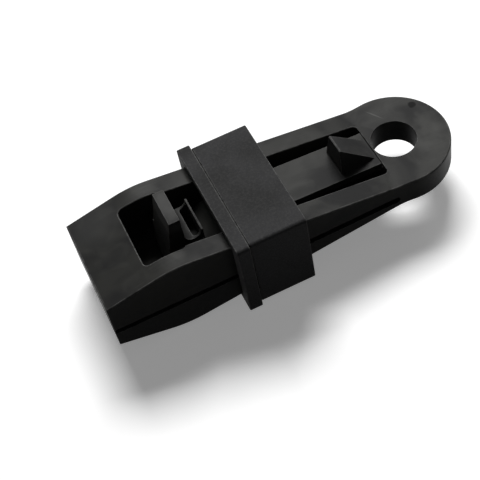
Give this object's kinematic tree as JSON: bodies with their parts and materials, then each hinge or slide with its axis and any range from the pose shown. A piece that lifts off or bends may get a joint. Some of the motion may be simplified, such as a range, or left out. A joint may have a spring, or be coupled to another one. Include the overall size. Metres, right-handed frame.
{
  "type": "tarp clip",
  "caption": "Locking tarp clip: toothed jaws on springy arms, a spring tongue between them and a sliding sleeve that wedges the jaws shut, with an eyelet for a cord.",
  "frame": {"origin": "centre of the eyelet bore, halfway through the ring's thickness", "axes": "+Z along the eyelet bore, towards the side with the wedge and the post; -X from the eyelet towards the jaws; the part is symmetric about the XZ plane"},
  "size_m": [0.094, 0.0356, 0.0273],
  "materials": {
    "body_plastic": "satin moulded black plastic",
    "sleeve_plastic": "fine spark-eroded matte black plastic"
  },
  "bodies": {
    "eyelet": {"eyelet_ring": "body_plastic"},
    "upper_arm": {"upper_jaw": "body_plastic"},
    "lower_arm": {"lower_jaw": "body_plastic"},
    "tongue": {"spring_tongue": "body_plastic"},
    "sleeve": {"lock_sleeve": "sleeve_plastic"}
  },
  "joints": [
    {"name": "sleeve_slide", "type": "slide", "parent": "eyelet", "child": "sleeve", "axis": [1, 0, 0], "range_m": [-0.0018, 0.0151]},
    {"name": "upper_jaw_flex", "type": "hinge", "parent": "eyelet", "child": "upper_arm", "pos_m": [-0.0081, 0, 0.00185], "axis": [0, 1, 0], "range_deg": [-0.5, 4]},
    {"name": "lower_jaw_flex", "type": "hinge", "parent": "eyelet", "child": "lower_arm", "pos_m": [-0.0081, 0, -0.00285], "axis": [0, -1, 0], "range_deg": [-0.5, 4]},
    {"name": "tongue_flex", "type": "hinge", "parent": "eyelet", "child": "tongue", "pos_m": [-0.0061, 0, 0.0028], "axis": [0, 1, 0], "range_deg": [-1.2, 2.5], "stiffness_Nm_per_rad": 1}
  ],
  "couplings": [
    {"joint": "upper_jaw_flex", "follows": "sleeve_slide", "rad_per_m": 4.5},
    {"joint": "lower_jaw_flex", "follows": "sleeve_slide", "rad_per_m": 4.5}
  ]
}
